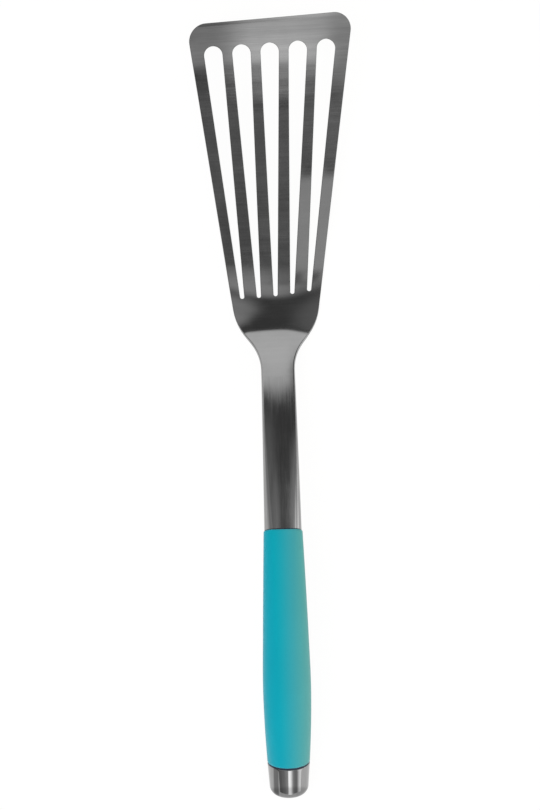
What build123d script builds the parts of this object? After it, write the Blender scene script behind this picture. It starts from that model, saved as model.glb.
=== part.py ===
from build123d import *
from math import asin, atan, atan2, cos, degrees, radians, sin, sqrt, tan
import os

# Fish spatula: a slotted turner blade, a hollow welded shaft, a moulded grip and a drawn end cap.
# +Y runs along the tool to the blade's front edge and +Z is up. The tool lies as it rests on a table,
# on the underside of the heel and the underside of the end cap, with its origin on the table under
# the middle of its length.

# Blade seen square to the flat tines. Lengths run from the line where the tines end and the heel starts.
blade_length = 132.2
blade_front_width = 82.9
heel_width = 46.2
front_slant = 3.6
left_corner_radius = 9.0
right_corner_radius = 8.0
shoulder_back = 19.9
shoulder_radius = 25.0
neck_back = 35.3
neck_width = 16.5
neck_radius = 22.0

# Blade sheet seen from the side
blade_thickness = 1.2
neck_thickness = 3.0
lip_length = 32.2
lip_radius = 138.0
heel_radius = 43.4
heel_angle = 39.0
neck_length = 24.6
heel_lead = 10.0
heel_dish = 1.3
front_bevel_width = 1.7
front_bevel_depth = 0.25

# Slots, which fan out from a point behind the neck and narrow towards it
slot_count = 5
slot_pitch = 14.0
slot_fan_angle = 2.7
slot_front_margin = 12.2
slot_front_slant = 2.4
slot_front_width = 9.1
slot_rear = -6.0
slot_rear_slant = 6.7
slot_rear_width = 2.0

# Tongue of the blade inside the shaft's solid nose
tongue_width = 11.0
tongue_thickness = 1.6
tongue_length = 22.0

# Shaft: two hollow half shells welded along the sides
shaft_length = 81.8
shaft_end_slope = 17.5
shaft_nose_corner = 0.9
shaft_rear_width = 17.8
shaft_rear_height = 13.6
shaft_rear_corner = 4.1
shaft_wall = 1.0
shaft_nose_length = 24.0
bulkhead_thickness = 2.5

# Grip: a rigid core on the tang, inside a moulded sleeve
front_seal_thickness = 0.5
front_seal_inset = 0.25
grip_length = 109.7
grip_turn = 33.5
grip_front_width = 18.6
grip_front_height = 14.6
grip_front_corner = 4.1
grip_width = 22.8
grip_height = 20.6
grip_middle_corner = 8.6
grip_rear_width = 20.3
grip_rear_corner = 10.0
sleeve_wall = 2.2

# Tang: a flat bar that follows the grip and ends in a stud
tang_width = 9.0
tang_thickness = 5.0
tang_tail_length = 9.0
stud_diameter = 5.0
stud_length = 13.0
washer_diameter = 10.0
washer_thickness = 1.0
nut_across_flats = 8.0
nut_thickness = 4.0
pocket_diameter = 12.5
pocket_depth = 3.0

# End cap: a drawn cup over the core's spigot
rear_seal_thickness = 0.8
rear_seal_inset = 0.2
cap_length = 16.2
cap_front_diameter = 20.2
cap_rear_diameter = 18.0
cap_edge_radius = 4.8
cap_wall = 1.0
spigot_length = 9.0

# Fits and overruns
fit_clearance = 0.05
overrun = 2.0

# Hand-chosen shares: places along a run, and how far a size has moved from its first to its last value
heel_place_shares = (0.2, 0.4, 0.6, 0.8, 1)
heel_thickness_shares = (0, 0, 0.08, 0.2, 0.36)
heel_dish_shares = (0.3, 0.7, 1, 1, 0.8)
neck_place_shares = (0.25, 0.5, 0.75, 1)
neck_thickness_shares = (0.58, 0.78, 0.92, 1)
neck_dish_shares = (0.35, 0.08, 0, 0)
shaft_place_shares = (0, 0.25, 0.5, 0.75, 1)
shaft_ease_share = 0.8
grip_place_shares = (0, 0.22, 0.45, 0.68, 0.84, 1)
grip_bulge_shares = (0, 0.38, 0.74, 1, 0.68, 0)
grip_widest_share = 0.68

# Blade outline in plan, right side first
side_taper = (blade_front_width - heel_width) / 2 / blade_length
front_rise = tan(radians(front_slant)) * blade_front_width / 2
slot_front = blade_length - slot_front_margin


def half_width(along):
    """Half the blade's width where its straight sides pass a length in plan."""
    return heel_width / 2 + side_taper * along


neck_end = -(heel_radius * sin(radians(heel_angle)) + neck_length)
front_left = (-half_width(blade_length - front_rise), blade_length - front_rise)
front_right = (half_width(blade_length + front_rise), blade_length + front_rise)
shoulder = (half_width(-shoulder_back), -shoulder_back)
neck_corner = (neck_width / 2, -neck_back)
neck_foot = (neck_width / 2, neck_end)

with BuildSketch() as outline:
    with BuildLine():
        Polyline(front_right, shoulder, neck_corner, neck_foot, (0, neck_end))
        Polyline(
            front_left,
            (-shoulder[0], shoulder[1]),
            (-neck_corner[0], neck_corner[1]),
            (-neck_foot[0], neck_foot[1]),
            (0, neck_end),
        )
        Line(front_right, front_left)
    make_face()
    front_corners = outline.vertices().sort_by(Axis.Y)[-2:].sort_by(Axis.X)
    fillet(front_corners[0], left_corner_radius)
    fillet(outline.vertices().sort_by(Axis.Y)[-1], right_corner_radius)
    for corner_along, corner_radius in ((-shoulder_back, shoulder_radius), (-neck_back, neck_radius)):
        near = (corner_along - overrun, corner_along + overrun)
        fillet(outline.vertices().filter_by_position(Axis.Y, *near), corner_radius)

# Centre line of the whole tool in its side plane: the heel turns up steeply, then the neck and the shaft
# bend back on one long arc and the grip on a tighter one
shaft_radius = (neck_length + shaft_length) / radians(heel_angle - shaft_end_slope)
neck_turn = degrees(neck_length / shaft_radius)
shaft_turn = degrees(shaft_length / shaft_radius)
grip_radius = grip_length / radians(grip_turn)
lip_start = blade_length - lip_length
lip_turn = degrees(asin((lip_length + front_rise + overrun) / lip_radius))

with BuildLine(Plane.YZ):
    flat_run = Line((heel_lead, 0), (lip_start, 0))
    lip_run = JernArc(flat_run @ 1, flat_run % 1, lip_radius, lip_turn)
with BuildLine(Plane.YZ):
    lead_run = Line((heel_lead, 0), (0, 0))
    heel_run = JernArc(lead_run @ 1, lead_run % 1, heel_radius, -heel_angle)
    neck_run = JernArc(heel_run @ 1, heel_run % 1, shaft_radius, neck_turn)
    shaft_run = JernArc(neck_run @ 1, neck_run % 1, shaft_radius, shaft_turn)
    front_seal_run = Line(shaft_run @ 1, shaft_run @ 1 + shaft_run % 1 * front_seal_thickness)
    grip_run = JernArc(front_seal_run @ 1, front_seal_run % 1, grip_radius, grip_turn)
    rear_seal_run = Line(grip_run @ 1, grip_run @ 1 + grip_run % 1 * rear_seal_thickness)
    cap_run = Line(rear_seal_run @ 1, rear_seal_run @ 1 + rear_seal_run % 1 * cap_length)

# Resting pose: the table touches the heel's underside and the cap's lower edge, both of them round there
cap_taper = atan((cap_front_diameter - cap_rear_diameter) / 2 / cap_length)


def cap_radius(depth):
    """Outer radius of the end cap at a depth behind its mouth."""
    return cap_front_diameter / 2 - depth * tan(cap_taper)


cap_edge_radial = cap_radius(cap_length - cap_edge_radius) - cap_edge_radius / cos(cap_taper)
cap_edge_axial = cap_run @ 1 - cap_run % 1 * cap_edge_radius
cap_up = Vector(1, 0, 0).cross(cap_run % 1) * -1
cap_edge_low = cap_edge_axial - cap_up * cap_edge_radial
cap_edge_high = cap_edge_axial + cap_up * cap_edge_radial
heel_reach = heel_radius + blade_thickness / 2
heel_to_cap = Vector(0, 0, heel_radius) - cap_edge_low
rest_tilt = asin((heel_reach - cap_edge_radius) / heel_to_cap.length) - atan2(heel_to_cap.Z, heel_to_cap.Y)


def lip_slope(along, reach):
    """Slope at a length in plan of a lip surface that lies at a reach from its centre of curvature."""
    return asin((along - lip_start) / reach)


tip_along = outline.sketch.bounding_box().max.Y
lower_reach = lip_radius + blade_thickness / 2
tip_lower = Vector(0, tip_along, lip_radius - lower_reach * cos(lip_slope(tip_along, lower_reach)))
front_limit = tip_lower.rotate(Axis.X, degrees(rest_tilt)).Y
rear_limit = cap_edge_high.rotate(Axis.X, degrees(rest_tilt)).Y - cap_edge_radius
middle = (front_limit + rear_limit) / 2
table = heel_radius * cos(rest_tilt) - heel_reach
blade_up = (0, -sin(rest_tilt), cos(rest_tilt))

blade_frame = Plane(origin=(0, -middle, -table), x_dir=(1, 0, 0), z_dir=blade_up)
flat_run = blade_frame.from_local_coords(flat_run)
lip_run = blade_frame.from_local_coords(lip_run)
lead_run = blade_frame.from_local_coords(lead_run)
heel_run = blade_frame.from_local_coords(heel_run)
neck_run = blade_frame.from_local_coords(neck_run)
shaft_run = blade_frame.from_local_coords(shaft_run)
grip_run = blade_frame.from_local_coords(grip_run)
cap_run = blade_frame.from_local_coords(cap_run)


def across(run, share):
    """The plane square to a run of the centre line, with its local y up."""
    return Plane(origin=run @ share, x_dir=(1, 0, 0), z_dir=run % share)


def on_blade(side, along, height):
    """The blade's frame with its origin moved to a place on the blade."""
    origin = blade_frame.from_local_coords((side, along, height))
    return Plane(origin=origin, x_dir=blade_frame.x_dir, z_dir=blade_frame.z_dir)


def blend(first, last, share):
    """A size on its way from its first to its last value."""
    return first + (last - first) * share


# Blade

blank_width = blade_front_width + 2 * overrun
heel_blank_width = 2 * half_width(heel_lead) + 2 * overrun


def sheet_section(place, thickness, dish):
    """One section of the sheet across the heel, with its edges raised above its middle by the dish."""
    side = heel_blank_width / 2
    half = thickness / 2
    with BuildSketch(place) as drawn:
        with BuildLine():
            lower = Bezier((-side, dish - half), (0, -dish - half), (side, dish - half))
            upper = Bezier((side, dish + half), (0, half - dish), (-side, dish + half))
            Line(lower @ 1, upper @ 0)
            Line(upper @ 1, lower @ 0)
        make_face()
    return drawn.sketch


heel_stations = [(across(lead_run, share), 0, 0) for share in (0, 0.5, 1)]
heel_stations += [
    (across(heel_run, place), thick, dish)
    for place, thick, dish in zip(heel_place_shares, heel_thickness_shares, heel_dish_shares)
]
heel_stations += [
    (across(neck_run, place), thick, dish)
    for place, thick, dish in zip(neck_place_shares, neck_thickness_shares, neck_dish_shares)
]


def tongue(clearance, length):
    """The flat tongue that runs from the neck into the shaft, or the room for it."""
    sections = []
    for share in (0, 0.5, 1):
        with BuildSketch(across(shaft_run, share * length / shaft_length)) as drawn:
            Rectangle(tongue_width + 2 * clearance, tongue_thickness + 2 * clearance)
        sections.append(drawn.sketch)
    return sections


def slot_place(step):
    """Frame of one slot, with its origin at the centre of its wide end and its y axis along it."""
    along = slot_front - slot_front_width / 2 + step * slot_pitch * tan(radians(slot_front_slant))
    return on_blade(step * slot_pitch, along, 0).rotated((0, 0, -step * slot_fan_angle))


def slot_run(step):
    """Distance between the centres of a slot's two round ends."""
    front_end = slot_front + step * slot_pitch * tan(radians(slot_front_slant))
    rear_end = slot_rear + step * slot_pitch * tan(radians(slot_rear_slant)) / 2
    return front_end - rear_end - slot_front_width / 2 - slot_rear_width / 2


# The bevel is ground flat along the slanted front edge, so its plane dips below the lip's upper surface there
upper_reach = lip_radius - blade_thickness / 2
bevel_along = blade_length - front_bevel_width
bevel_slope = lip_slope(bevel_along, upper_reach)
bevel_height = lip_radius - upper_reach * cos(bevel_slope)
bevel_dip = bevel_slope - atan(front_bevel_depth / front_bevel_width)
bevel_place = on_blade(0, bevel_along, bevel_height).rotated((0, 0, front_slant))
bevel_place = bevel_place.rotated((degrees(bevel_dip), 0, 0))

with BuildPart() as blade:
    with BuildSketch(across(flat_run, 0)):
        Rectangle(blank_width, blade_thickness)
    sweep(path=Wire([flat_run, lip_run]))
    loft(
        sections=[
            sheet_section(place, blend(blade_thickness, neck_thickness, thick), dish * heel_dish)
            for place, thick, dish in heel_stations
        ]
    )
    with BuildSketch(blade_frame):
        add(outline.sketch)
    extrude(amount=blade_length, both=True, mode=Mode.INTERSECT)
    for slot in range(slot_count):
        slot_step = slot - (slot_count - 1) / 2
        with BuildSketch(slot_place(slot_step)):
            with BuildLine():
                CenterArc((0, 0), slot_front_width / 2, 0, 360)
                CenterArc((0, -slot_run(slot_step)), slot_rear_width / 2, 0, 360)
            make_hull()
        extrude(amount=blade_length, both=True, mode=Mode.SUBTRACT)
    with BuildSketch(bevel_place):
        Rectangle(blank_width, blade_length - lip_start, align=(Align.CENTER, Align.MIN))
    extrude(amount=lip_length, mode=Mode.SUBTRACT)
    loft(sections=tongue(0, tongue_length))
blade.part.label = "blade"

# Shaft shells


def shaft_section(share, inset=0, half=0):
    """One section of the shaft, whole or only its upper (1) or lower (-1) half."""
    rise = share * (1 - shaft_ease_share + shaft_ease_share * share)
    width = blend(neck_width, shaft_rear_width, share) - 2 * inset
    height = blend(neck_thickness, shaft_rear_height, rise) - 2 * inset
    corner = blend(shaft_nose_corner, shaft_rear_corner, rise) - inset
    with BuildSketch(across(shaft_run, share)) as drawn:
        RectangleRounded(width, height, max(corner, shaft_nose_corner / 2))
        if half:
            with Locations((0, half * height / 2)):
                Rectangle(2 * width, height, mode=Mode.INTERSECT)
    return drawn.sketch


hollow_start_share = shaft_nose_length / shaft_length
hollow_shares = [blend(hollow_start_share, 1, share) for share in shaft_place_shares]

with BuildPart() as shaft_upper_shell:
    loft(sections=[shaft_section(share, half=1) for share in shaft_place_shares])
    loft(sections=[shaft_section(share, inset=shaft_wall) for share in hollow_shares], mode=Mode.SUBTRACT)
    loft(sections=tongue(fit_clearance, shaft_nose_length + overrun), mode=Mode.SUBTRACT)
shaft_upper_shell.part.label = "shaft_upper_shell"

with BuildPart() as shaft_lower_shell:
    loft(sections=[shaft_section(share, half=-1) for share in shaft_place_shares])
    loft(sections=[shaft_section(share, inset=shaft_wall) for share in hollow_shares], mode=Mode.SUBTRACT)
    loft(sections=tongue(fit_clearance, shaft_nose_length + overrun), mode=Mode.SUBTRACT)
shaft_lower_shell.part.label = "shaft_lower_shell"

# Bulkhead across the shaft's rear end
bulkhead_share = 1 - bulkhead_thickness / shaft_length
shaft_end = across(shaft_run, 1)

with BuildPart() as shaft_bulkhead:
    loft(sections=[shaft_section(share, inset=shaft_wall + fit_clearance) for share in (bulkhead_share, 1)])
    with BuildSketch(shaft_end):
        Rectangle(tang_width + 2 * fit_clearance, tang_thickness + 2 * fit_clearance)
    extrude(amount=bulkhead_thickness + overrun, both=True, mode=Mode.SUBTRACT)
shaft_bulkhead.part.label = "shaft_bulkhead"

# Seal between the shaft and the grip
with BuildPart() as front_seal:
    with BuildSketch(shaft_end):
        add(shaft_end.to_local_coords(shaft_section(1, inset=front_seal_inset)))
        Rectangle(tang_width + 2 * fit_clearance, tang_thickness + 2 * fit_clearance, mode=Mode.SUBTRACT)
    extrude(amount=front_seal_thickness)
front_seal.part.label = "front_seal"

# Grip sleeve and core


def grip_section(place, bulge, inset=0):
    """One section of the grip, drawn in from its outside by an inset."""
    first = place <= grip_widest_share
    width = blend(grip_front_width if first else grip_rear_width, grip_width, bulge)
    height = blend(grip_front_height if first else grip_rear_width, grip_height, bulge)
    corner = blend(grip_front_corner if first else grip_rear_corner, grip_middle_corner, bulge)
    with BuildSketch(across(grip_run, place)) as drawn:
        RectangleRounded(width - 2 * inset, height - 2 * inset, corner - inset)
    return drawn.sketch


def grip_sections(inset=0):
    """All the sections of the grip, from front to rear."""
    return [grip_section(place, bulge, inset) for place, bulge in zip(grip_place_shares, grip_bulge_shares)]


with BuildPart() as grip_sleeve:
    loft(sections=grip_sections())
    loft(sections=grip_sections(sleeve_wall), mode=Mode.SUBTRACT)
grip_sleeve.part.label = "grip_sleeve"

grip_rear = across(grip_run, 1)
tang_run = grip_run.trim(0, 1 - tang_tail_length / grip_length)
spigot_reach = rear_seal_thickness + spigot_length


def spigot_radius(depth):
    """Radius of the spigot that fits the cap's bore at a depth behind the grip's rear face."""
    return cap_radius(depth - rear_seal_thickness) - cap_wall / cos(cap_taper) - fit_clearance


with BuildPart() as grip_core:
    loft(sections=grip_sections(sleeve_wall + fit_clearance))
    with BuildSketch(grip_rear):
        Circle(spigot_radius(0))
    with BuildSketch(grip_rear.offset(spigot_reach)):
        Circle(spigot_radius(spigot_reach))
    loft()
    with BuildSketch(across(grip_run, 0)):
        Rectangle(tang_width + 2 * fit_clearance, tang_thickness + 2 * fit_clearance)
    sweep(path=tang_run, mode=Mode.SUBTRACT)
    with BuildSketch(grip_rear):
        Circle(stud_diameter / 2 + fit_clearance)
    extrude(amount=-tang_tail_length - overrun, mode=Mode.SUBTRACT)
    with BuildSketch(grip_rear.offset(-pocket_depth)):
        Circle(pocket_diameter / 2)
    extrude(amount=pocket_depth + spigot_reach, mode=Mode.SUBTRACT)
grip_core.part.label = "grip_core"

# Tang with its stud, washer and nut
with BuildPart() as tang:
    with BuildSketch(across(grip_run, 0)):
        Rectangle(tang_width, tang_thickness)
    sweep(path=tang_run)
    with BuildSketch(shaft_end):
        Rectangle(tang_width, tang_thickness)
    extrude(amount=front_seal_thickness)
    with BuildSketch(shaft_end):
        Rectangle(tang_width, tang_thickness)
    extrude(amount=-bulkhead_thickness)
    with BuildSketch(grip_rear.offset(-tang_tail_length - overrun / 2)):
        Circle(stud_diameter / 2)
    extrude(amount=stud_length + overrun / 2)
tang.part.label = "tang"

with BuildPart() as tang_washer:
    with BuildSketch(grip_rear.offset(-pocket_depth)):
        Circle(washer_diameter / 2)
        Circle(stud_diameter / 2 + fit_clearance, mode=Mode.SUBTRACT)
    extrude(amount=washer_thickness)
tang_washer.part.label = "tang_washer"

with BuildPart() as tang_nut:
    with BuildSketch(grip_rear.offset(washer_thickness - pocket_depth)):
        RegularPolygon(nut_across_flats / 2, 6, major_radius=False)
        Circle(stud_diameter / 2 + fit_clearance, mode=Mode.SUBTRACT)
    extrude(amount=nut_thickness)
tang_nut.part.label = "tang_nut"

# Seal between the grip and the end cap
with BuildPart() as rear_seal:
    with BuildSketch(grip_rear):
        Circle(cap_front_diameter / 2 - rear_seal_inset)
        Circle(spigot_radius(0) + fit_clearance, mode=Mode.SUBTRACT)
    extrude(amount=rear_seal_thickness)
rear_seal.part.label = "rear_seal"

# End cap, turned about the last run of the centre line
cap_plane = Plane(origin=cap_run @ 0, x_dir=cap_run % 0, z_dir=(1, 0, 0))
cap_axis = Axis(cap_run @ 0, cap_run % 0)
bore_depth = cap_length - cap_wall
bore_mouth = cap_radius(0) - cap_wall / cos(cap_taper)
bore_end = cap_radius(bore_depth) - cap_wall / cos(cap_taper)

with BuildPart() as end_cap:
    with BuildSketch(cap_plane) as cap_profile:
        Polygon((0, 0), (cap_length, 0), (cap_length, cap_radius(cap_length)), (0, cap_radius(0)), align=None)
        fillet(cap_profile.vertices().group_by(Axis.X)[-1].sort_by(Axis.Y)[-1], cap_edge_radius)
    revolve(axis=cap_axis)
    with BuildSketch(cap_plane) as bore_profile:
        Polygon((0, 0), (bore_depth, 0), (bore_depth, bore_end), (0, bore_mouth), align=None)
        fillet(bore_profile.vertices().group_by(Axis.X)[-1].sort_by(Axis.Y)[-1], cap_edge_radius - cap_wall)
    revolve(axis=cap_axis, mode=Mode.SUBTRACT)
end_cap.part.label = "end_cap"

pieces = (
    blade,
    shaft_upper_shell,
    shaft_lower_shell,
    shaft_bulkhead,
    front_seal,
    grip_core,
    grip_sleeve,
    tang,
    tang_washer,
    tang_nut,
    rear_seal,
    end_cap,
)
os.makedirs("parts", exist_ok=True)
for piece in pieces:
    export_step(piece.part, f"parts/{piece.part.label}.step")
print("rest tilt", round(degrees(rest_tilt), 2))
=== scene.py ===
from math import asin, atan, atan2, cos, radians, sin, tan

import bpy
from mathutils import Matrix, Vector
from mathutils.geometry import delaunay_2d_cdt
import numpy as np


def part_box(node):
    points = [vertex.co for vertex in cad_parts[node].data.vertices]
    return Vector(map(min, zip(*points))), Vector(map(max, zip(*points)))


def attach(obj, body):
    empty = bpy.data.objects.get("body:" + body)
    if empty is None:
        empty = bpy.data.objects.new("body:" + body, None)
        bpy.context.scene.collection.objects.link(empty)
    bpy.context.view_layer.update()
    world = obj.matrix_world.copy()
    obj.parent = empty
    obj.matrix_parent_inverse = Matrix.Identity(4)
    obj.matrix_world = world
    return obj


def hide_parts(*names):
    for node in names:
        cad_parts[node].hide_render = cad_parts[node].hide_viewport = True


# Fish spatula on a white table, seen square to its blade. Sizes are in millimetres and meshes in metres.
# Places on the tool are given along its centre line: positive lengths run forward from the line where
# the tines end, negative ones run back over the heel, the neck, the shaft and the grip.
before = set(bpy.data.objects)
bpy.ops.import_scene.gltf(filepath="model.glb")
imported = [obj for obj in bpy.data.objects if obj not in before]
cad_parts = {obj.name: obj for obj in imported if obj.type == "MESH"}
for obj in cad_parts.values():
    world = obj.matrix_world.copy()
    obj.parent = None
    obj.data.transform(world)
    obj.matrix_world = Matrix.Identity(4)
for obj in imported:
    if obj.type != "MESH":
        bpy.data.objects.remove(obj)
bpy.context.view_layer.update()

MM = 0.001

# Blade outline and sheet
blade_length = 132.2
blade_front_width = 82.9
heel_width = 46.2
front_slant = radians(3.6)
left_corner_radius = 9.0
right_corner_radius = 8.0
shoulder_back = 19.9
shoulder_radius = 25.0
neck_back = 35.3
neck_width = 16.5
neck_radius = 22.0
blade_thickness = 1.2
neck_thickness = 3.0
lip_length = 32.2
lip_radius = 138.0
heel_radius = 43.4
heel_angle = radians(39.0)
neck_length = 24.6
heel_lead = 10.0
heel_dish = 1.3
bevel_width = 1.7
bevel_depth = 0.25
edge_radius = 0.28
front_edge_radius = 0.16
tip_inset = 0.12
front_edge_lead = 20.0
front_edge_tail = 3.0
neck_edge_lead_share = 0.5
neck_edge_tail = 4.0
blank_overrun = 2.0

# Slight unevenness of the springy sheet. Fronts, rears, left, right and reach say where a form starts and
# where it is full.
lip_rise = 0.75
lip_rise_reach = (86, 108)
heel_hump = 0.7
heel_hump_front = (11, -5)
heel_hump_rear = (-27, -9)
heel_hump_share = 0.6
heel_hump_share_fall = 0.5
heel_hump_share_limits = (0.05, 1.1)
heel_cup = 0.3
heel_cup_front = (12, -2)
heel_cup_rear = (-24, -12)
fold_drop = 0.25
fold_left = (-13, -19)
fold_right = (2, 16)
fold_front = (-21, -30)
fold_rear = (-44, -30)
tine_twist = -0.045
tine_twist_rear = (0, 9)
tine_twist_front = (60, 48)
twisted_tine_steps = (1.5, 2.6)

# Slots
slot_count = 5
slot_pitch = 14.0
slot_fan_angle = radians(2.7)
slot_front_margin = 12.2
slot_front_slant = radians(2.4)
slot_front_width = 9.1
slot_rear = -6.0
slot_rear_slant = radians(6.7)
slot_rear_width = 2.0

# Shaft
shaft_length = 81.8
shaft_end_slope = radians(17.5)
shaft_nose_corner = 0.9
shaft_rear_width = 17.8
shaft_rear_height = 13.6
shaft_rear_corner = 4.1
shaft_wall = 1.0
shaft_ease_share = 0.8
neck_crown = 0.3
neck_crown_lead_share = 0.8
neck_crown_tail = 2.0
neck_blend = 8.0
shaft_crown_reach = (0.3, 0.9)
shaft_inner_corner = 0.3

# Grip, seals and cap
front_seal_thickness = 0.5
grip_length = 109.7
grip_turn = radians(33.5)
grip_front_width = 18.6
grip_front_height = 14.6
grip_front_corner = 4.1
grip_width = 22.8
grip_height = 20.6
grip_middle_corner = 8.6
grip_rear_width = 20.3
grip_rear_corner = 10.0
sleeve_wall = 2.2
sleeve_edge_radius = 0.35
sleeve_inset = 0.02
rear_seal_thickness = 0.8
cap_length = 16.2
cap_front_diameter = 20.2
cap_rear_diameter = 18.0
cap_edge_radius = 4.8
cap_wall = 1.0
cap_rim_radius = 0.3

# Places along a run and shares of a size's change there, as in the solids
heel_place_shares = (0.2, 0.4, 0.6, 0.8, 1)
heel_thickness_shares = (0, 0, 0.08, 0.2, 0.36)
heel_dish_shares = (0.3, 0.7, 1, 1, 0.8)
neck_place_shares = (0.25, 0.5, 0.75, 1)
neck_thickness_shares = (0.58, 0.78, 0.92, 1)
neck_dish_shares = (0.35, 0.08, 0, 0)
grip_place_shares = (0, 0.22, 0.45, 0.68, 0.84, 1)
grip_bulge_shares = (0, 0.38, 0.74, 1, 0.68, 0)
grip_widest_share = 0.68

# Mesh steps and counts
outline_step = 1.5
arc_step = radians(6)
plan_step = 0.05
plan_reach_share = 1.2
sheet_step = 2.0
heel_step = 1.1
bevel_step = 1.0
bevel_gap = 0.5
grid_gap_share = 0.6
grid_overrun = 6.0
weld_distance = 1e-5
neck_end_points = 9
quarter_points = 13
broad_points = 10
narrow_points = 4
side_remnant = 0.01
shaft_stations = 61
sleeve_stations = 91
cap_side_rows = 13
cap_round_rows = 25
cap_columns = 144
edge_angles = tuple(radians(angle) for angle in (0, 30, 60, 90))

# Centre line
heel_length = heel_radius * heel_angle
shaft_bend = heel_angle - shaft_end_slope
neck_end = -(heel_length + neck_length)
shaft_end = neck_end - shaft_length
grip_start = shaft_end - front_seal_thickness
grip_end = grip_start - grip_length
cap_start = grip_end - rear_seal_thickness
lip_start = blade_length - lip_length
side_taper = (blade_front_width - heel_width) / 2 / blade_length
front_rise = tan(front_slant) * blade_front_width / 2
slot_front = blade_length - slot_front_margin
rear_runs = (
    (heel_length, heel_angle),
    (neck_length + shaft_length, -shaft_bend),
    (front_seal_thickness, 0),
    (grip_length, -grip_turn),
    (rear_seal_thickness + cap_length, 0),
)


def centre_line(along):
    """Side-plane place (y, z) and rise angle of the centre line at lengths along it."""
    along = np.asarray(along, float)
    flat = np.clip(along, 0, lip_start)
    lip_turn = np.clip(along - lip_start, 0, None) / lip_radius
    y = flat + lip_radius * np.sin(lip_turn)
    z = lip_radius * (1 - np.cos(lip_turn))
    angle = -lip_turn
    start = 0
    heading = 0
    for length, turn in rear_runs:
        part = np.clip(-along - start, 0, length)
        bend = turn / length
        if bend:
            y = y - (np.sin(heading + bend * part) - sin(heading)) / bend
            z = z + (cos(heading) - np.cos(heading + bend * part)) / bend
        else:
            y = y - cos(heading) * part
            z = z + sin(heading) * part
        angle = angle + bend * part
        start += length
        heading += turn
    return y, z, angle


# Resting tilt and place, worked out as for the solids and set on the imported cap
cap_taper = atan((cap_front_diameter - cap_rear_diameter) / 2 / cap_length)
cap_slope = shaft_end_slope - grip_turn
cap_edge_radial = cap_front_diameter / 2 - (cap_length - cap_edge_radius) * tan(cap_taper)
cap_edge_radial -= cap_edge_radius / cos(cap_taper)
edge_y, edge_z = centre_line(cap_start - cap_length + cap_edge_radius)[:2]
edge_low = Vector((0, edge_y - sin(cap_slope) * cap_edge_radial, edge_z - cos(cap_slope) * cap_edge_radial))
edge_high = Vector((0, edge_y + sin(cap_slope) * cap_edge_radial, edge_z + cos(cap_slope) * cap_edge_radial))
heel_reach = heel_radius + blade_thickness / 2
heel_to_cap = Vector((0, 0, heel_radius)) - edge_low
rest_tilt = asin((heel_reach - cap_edge_radius) / heel_to_cap.length) - atan2(heel_to_cap.z, heel_to_cap.y)
tilt_matrix = np.array(Matrix.Rotation(rest_tilt, 3, "X"))
rear_limit = (Matrix.Rotation(rest_tilt, 3, "X") @ edge_high).y - cap_edge_radius
middle = rear_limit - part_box("end_cap")[0].y / MM
table = heel_radius * cos(rest_tilt) - heel_reach


def to_world(local):
    """Blade-frame places in millimetres as places on the table in metres."""
    return (np.asarray(local, float) @ tilt_matrix.T - (0, middle, table)) * MM


def turned(directions):
    """Blade-frame directions as directions on the table, with length one."""
    directions = np.asarray(directions, float) @ tilt_matrix.T
    return directions / np.linalg.norm(directions, axis=-1, keepdims=True)


def table_y(y, z=0):
    """World y, in metres, of a blade-frame place on the line of symmetry."""
    return float(to_world([(0, y, z)])[0, 1])


def smooth_through(places, values, at):
    """Values on a smooth curve through given values at rising places."""
    places = np.asarray(places, float)
    values = np.asarray(values, float)
    slopes = np.gradient(values, places)
    left = np.clip(np.searchsorted(places, at, side="right") - 1, 0, len(places) - 2)
    width = places[left + 1] - places[left]
    share = np.clip((at - places[left]) / width, 0, 1)
    rest = 1 - share
    return (
        (1 + 2 * share) * rest**2 * values[left]
        + share * rest**2 * width * slopes[left]
        + share**2 * (3 - 2 * share) * values[left + 1]
        - share**2 * rest * width * slopes[left + 1]
    )


def ramp(value, low, high):
    """Smooth step from 0 at low to 1 at high."""
    share = np.clip((np.asarray(value, float) - low) / (high - low), 0, 1)
    return share * share * (3 - 2 * share)


# Meshes


def make_piece(name, points, groups, material):
    """Links a mesh object. A group is a list of faces with the normals of all points, or None if flat."""
    faces = [list(face) for group, normals in groups for face in group]
    mesh = bpy.data.meshes.new(name)
    mesh.from_pydata(points.tolist(), [], faces)
    mesh.polygons.foreach_set("use_smooth", [True] * len(faces))
    corners = []
    for group, normals in groups:
        for face in group:
            if normals is None:
                a, b, c = points[list(face[:3])]
                flat = np.cross(b - a, c - b)
                corners += [tuple(flat / np.linalg.norm(flat))] * len(face)
            else:
                corners += [tuple(normals[i]) for i in face]
    mesh.normals_split_custom_set(corners)
    mesh.materials.append(material)
    piece = bpy.data.objects.new(name, mesh)
    bpy.context.scene.collection.objects.link(piece)
    return piece


def finish_piece(piece, node):
    """Puts a piece in place of its solid."""
    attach(piece, "root")
    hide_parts(node)


# Blade outline


def half_width(along):
    """Half the blade's width where its straight sides pass a length in plan."""
    return heel_width / 2 + side_taper * along


def rounded_path(corners):
    """Points on a path of straight sides and tangent arcs through corners given as (x, y, radius)."""
    path = []
    for i, (x, y, radius) in enumerate(corners):
        corner = Vector((x, y))
        if radius == 0:
            path.append(corner)
            continue
        back = (Vector(corners[i - 1][:2]) - corner).normalized()
        onward = (Vector(corners[i + 1][:2]) - corner).normalized()
        half = back.angle(onward) / 2
        centre = corner + (back + onward).normalized() * (radius / sin(half))
        start = corner + back * (radius / tan(half)) - centre
        sweep = start.angle_signed(corner + onward * (radius / tan(half)) - centre)
        count = max(2, round(abs(sweep) / arc_step))
        path += [centre + Matrix.Rotation(-sweep * k / count, 2) @ start for k in range(count + 1)]
    return path


def subdivided(path):
    """The path with its long sides cut into even steps."""
    points = []
    for a, b in zip(path, path[1:]):
        count = max(1, round((b - a).length / outline_step))
        points += [a.lerp(b, k / count) for k in range(count)]
    return points + [path[-1]]


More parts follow.
